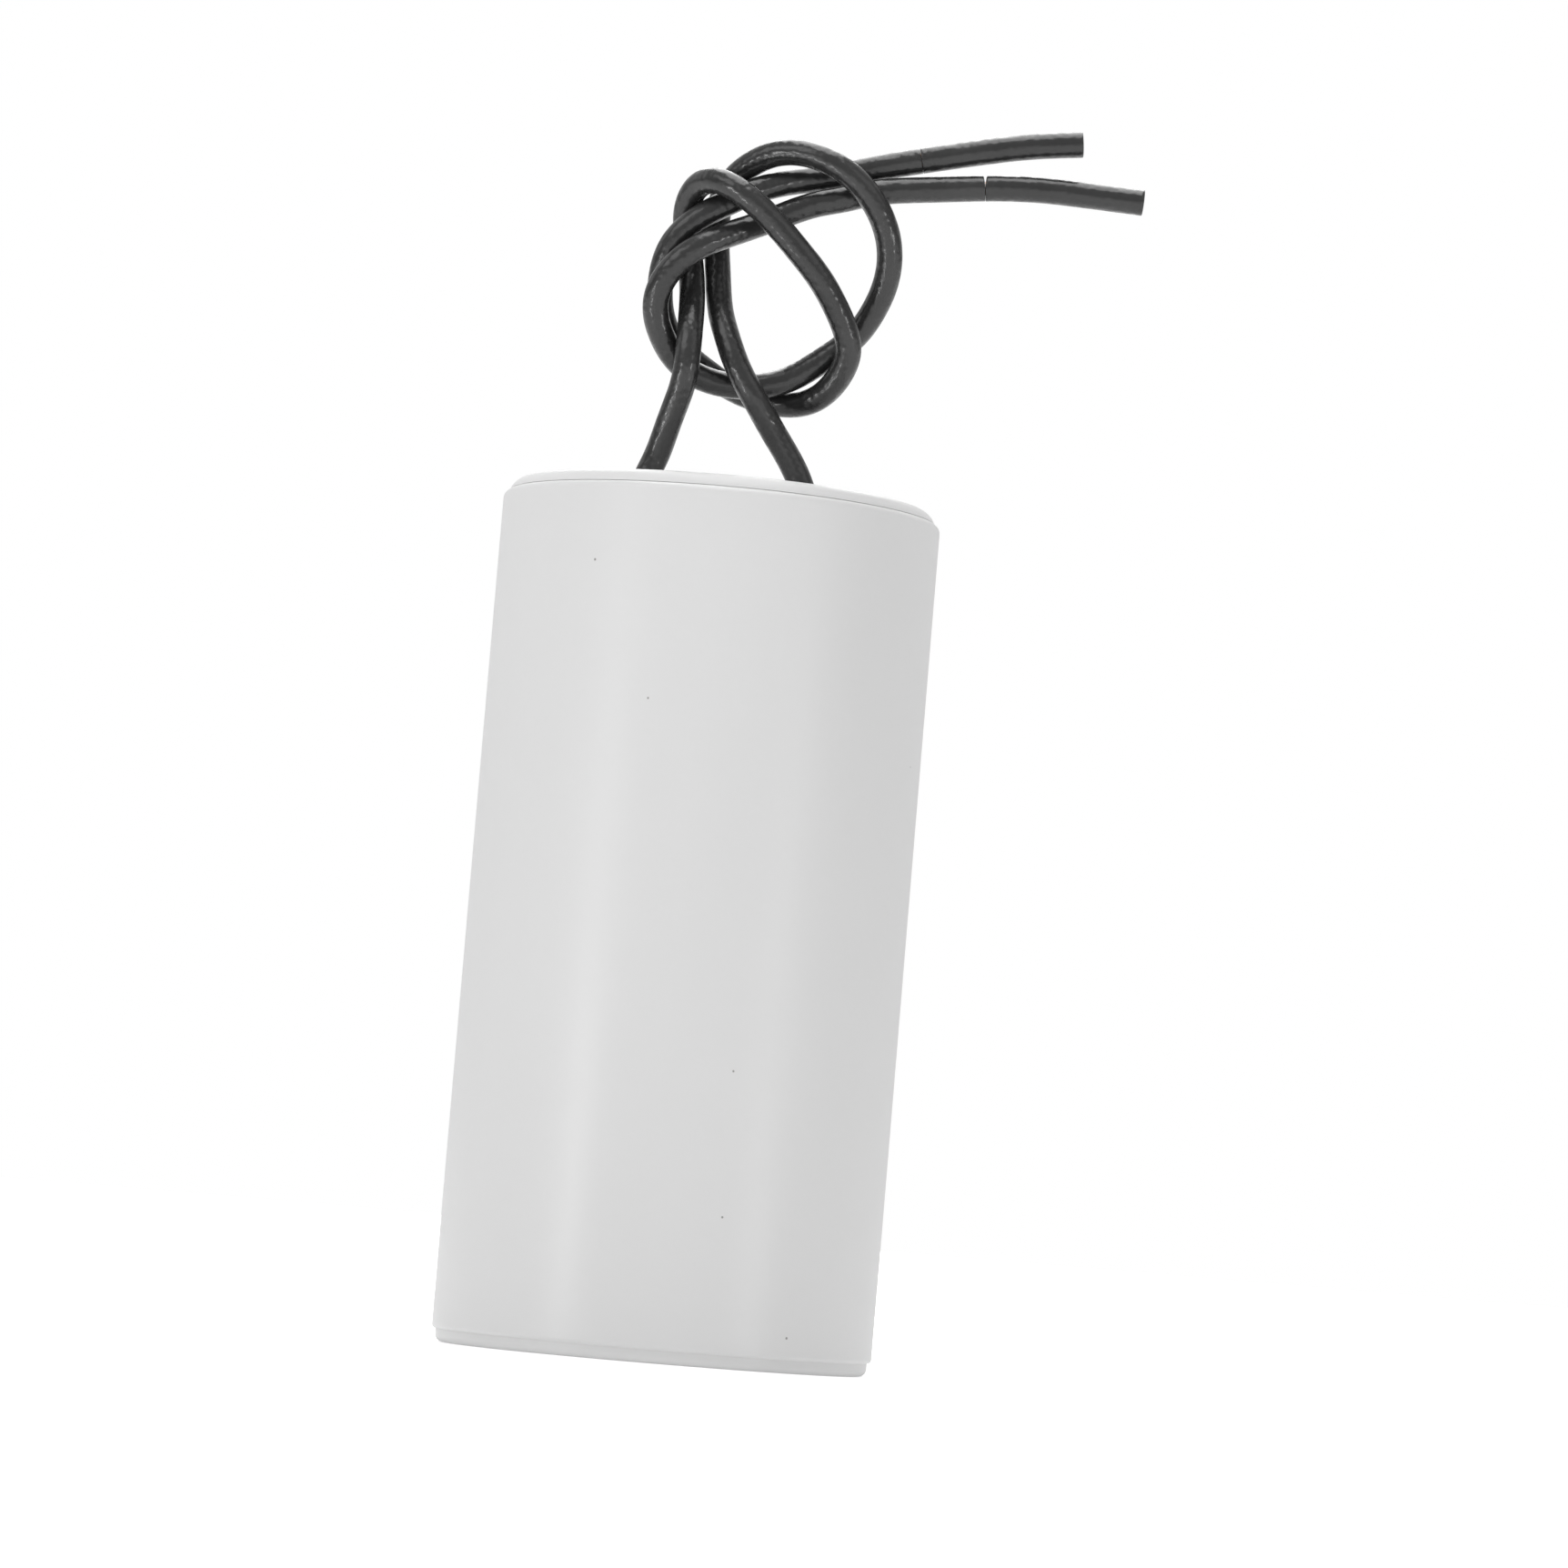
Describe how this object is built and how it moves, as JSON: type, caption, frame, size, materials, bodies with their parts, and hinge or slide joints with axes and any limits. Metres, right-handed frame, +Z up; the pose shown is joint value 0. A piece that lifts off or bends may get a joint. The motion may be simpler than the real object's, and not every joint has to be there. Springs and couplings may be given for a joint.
{
  "type": "motor run capacitor",
  "caption": "Cylindrical motor run capacitor in a white moulded case with press-in covers, its black wire leads tied in a knot above the case.",
  "frame": {"origin": "centre of the bottom cover's outer face, on the surface that the case stands on", "axes": "+Z up along the case towards the leads, +X towards the free ends of the leads"},
  "size_m": [0.052, 0.037, 0.1068],
  "materials": {
    "case_plastic": "white moulded plastic with a satin surface",
    "cover_plastic": "white moulded plastic, a little glossier than the tube",
    "resin": "cast potting resin",
    "metallised_film": "wound metallised polypropylene film",
    "core_plastic": "moulded winding core",
    "wrap_film": "clear yellowish wrapping film",
    "zinc_spray": "sprayed zinc, rough and grey",
    "solder": "solder",
    "lead_insulation": "black vinyl insulation with a dull, slightly uneven surface",
    "copper_strand": "bare stranded copper"
  },
  "bodies": {
    "root": {"case_tube": "case_plastic", "top_cover": "cover_plastic", "bottom_cover": "cover_plastic", "potting_resin": "resin", "film_winding": "metallised_film", "winding_core": "core_plastic", "winding_wrap": "wrap_film", "top_end_spray": "zinc_spray", "bottom_end_spray": "zinc_spray", "top_solder_joint": "solder", "bottom_solder_joint": "solder", "left_lead_tail": "lead_insulation", "left_tail_conductor": "copper_strand", "right_lead_tail": "lead_insulation", "right_tail_conductor": "copper_strand", "left_lead": "lead_insulation", "left_end_conductor": "copper_strand", "left_end_slug": "lead_insulation", "right_lead": "lead_insulation", "right_end_conductor": "copper_strand", "right_end_slug": "lead_insulation"}
  },
  "joints": []
}
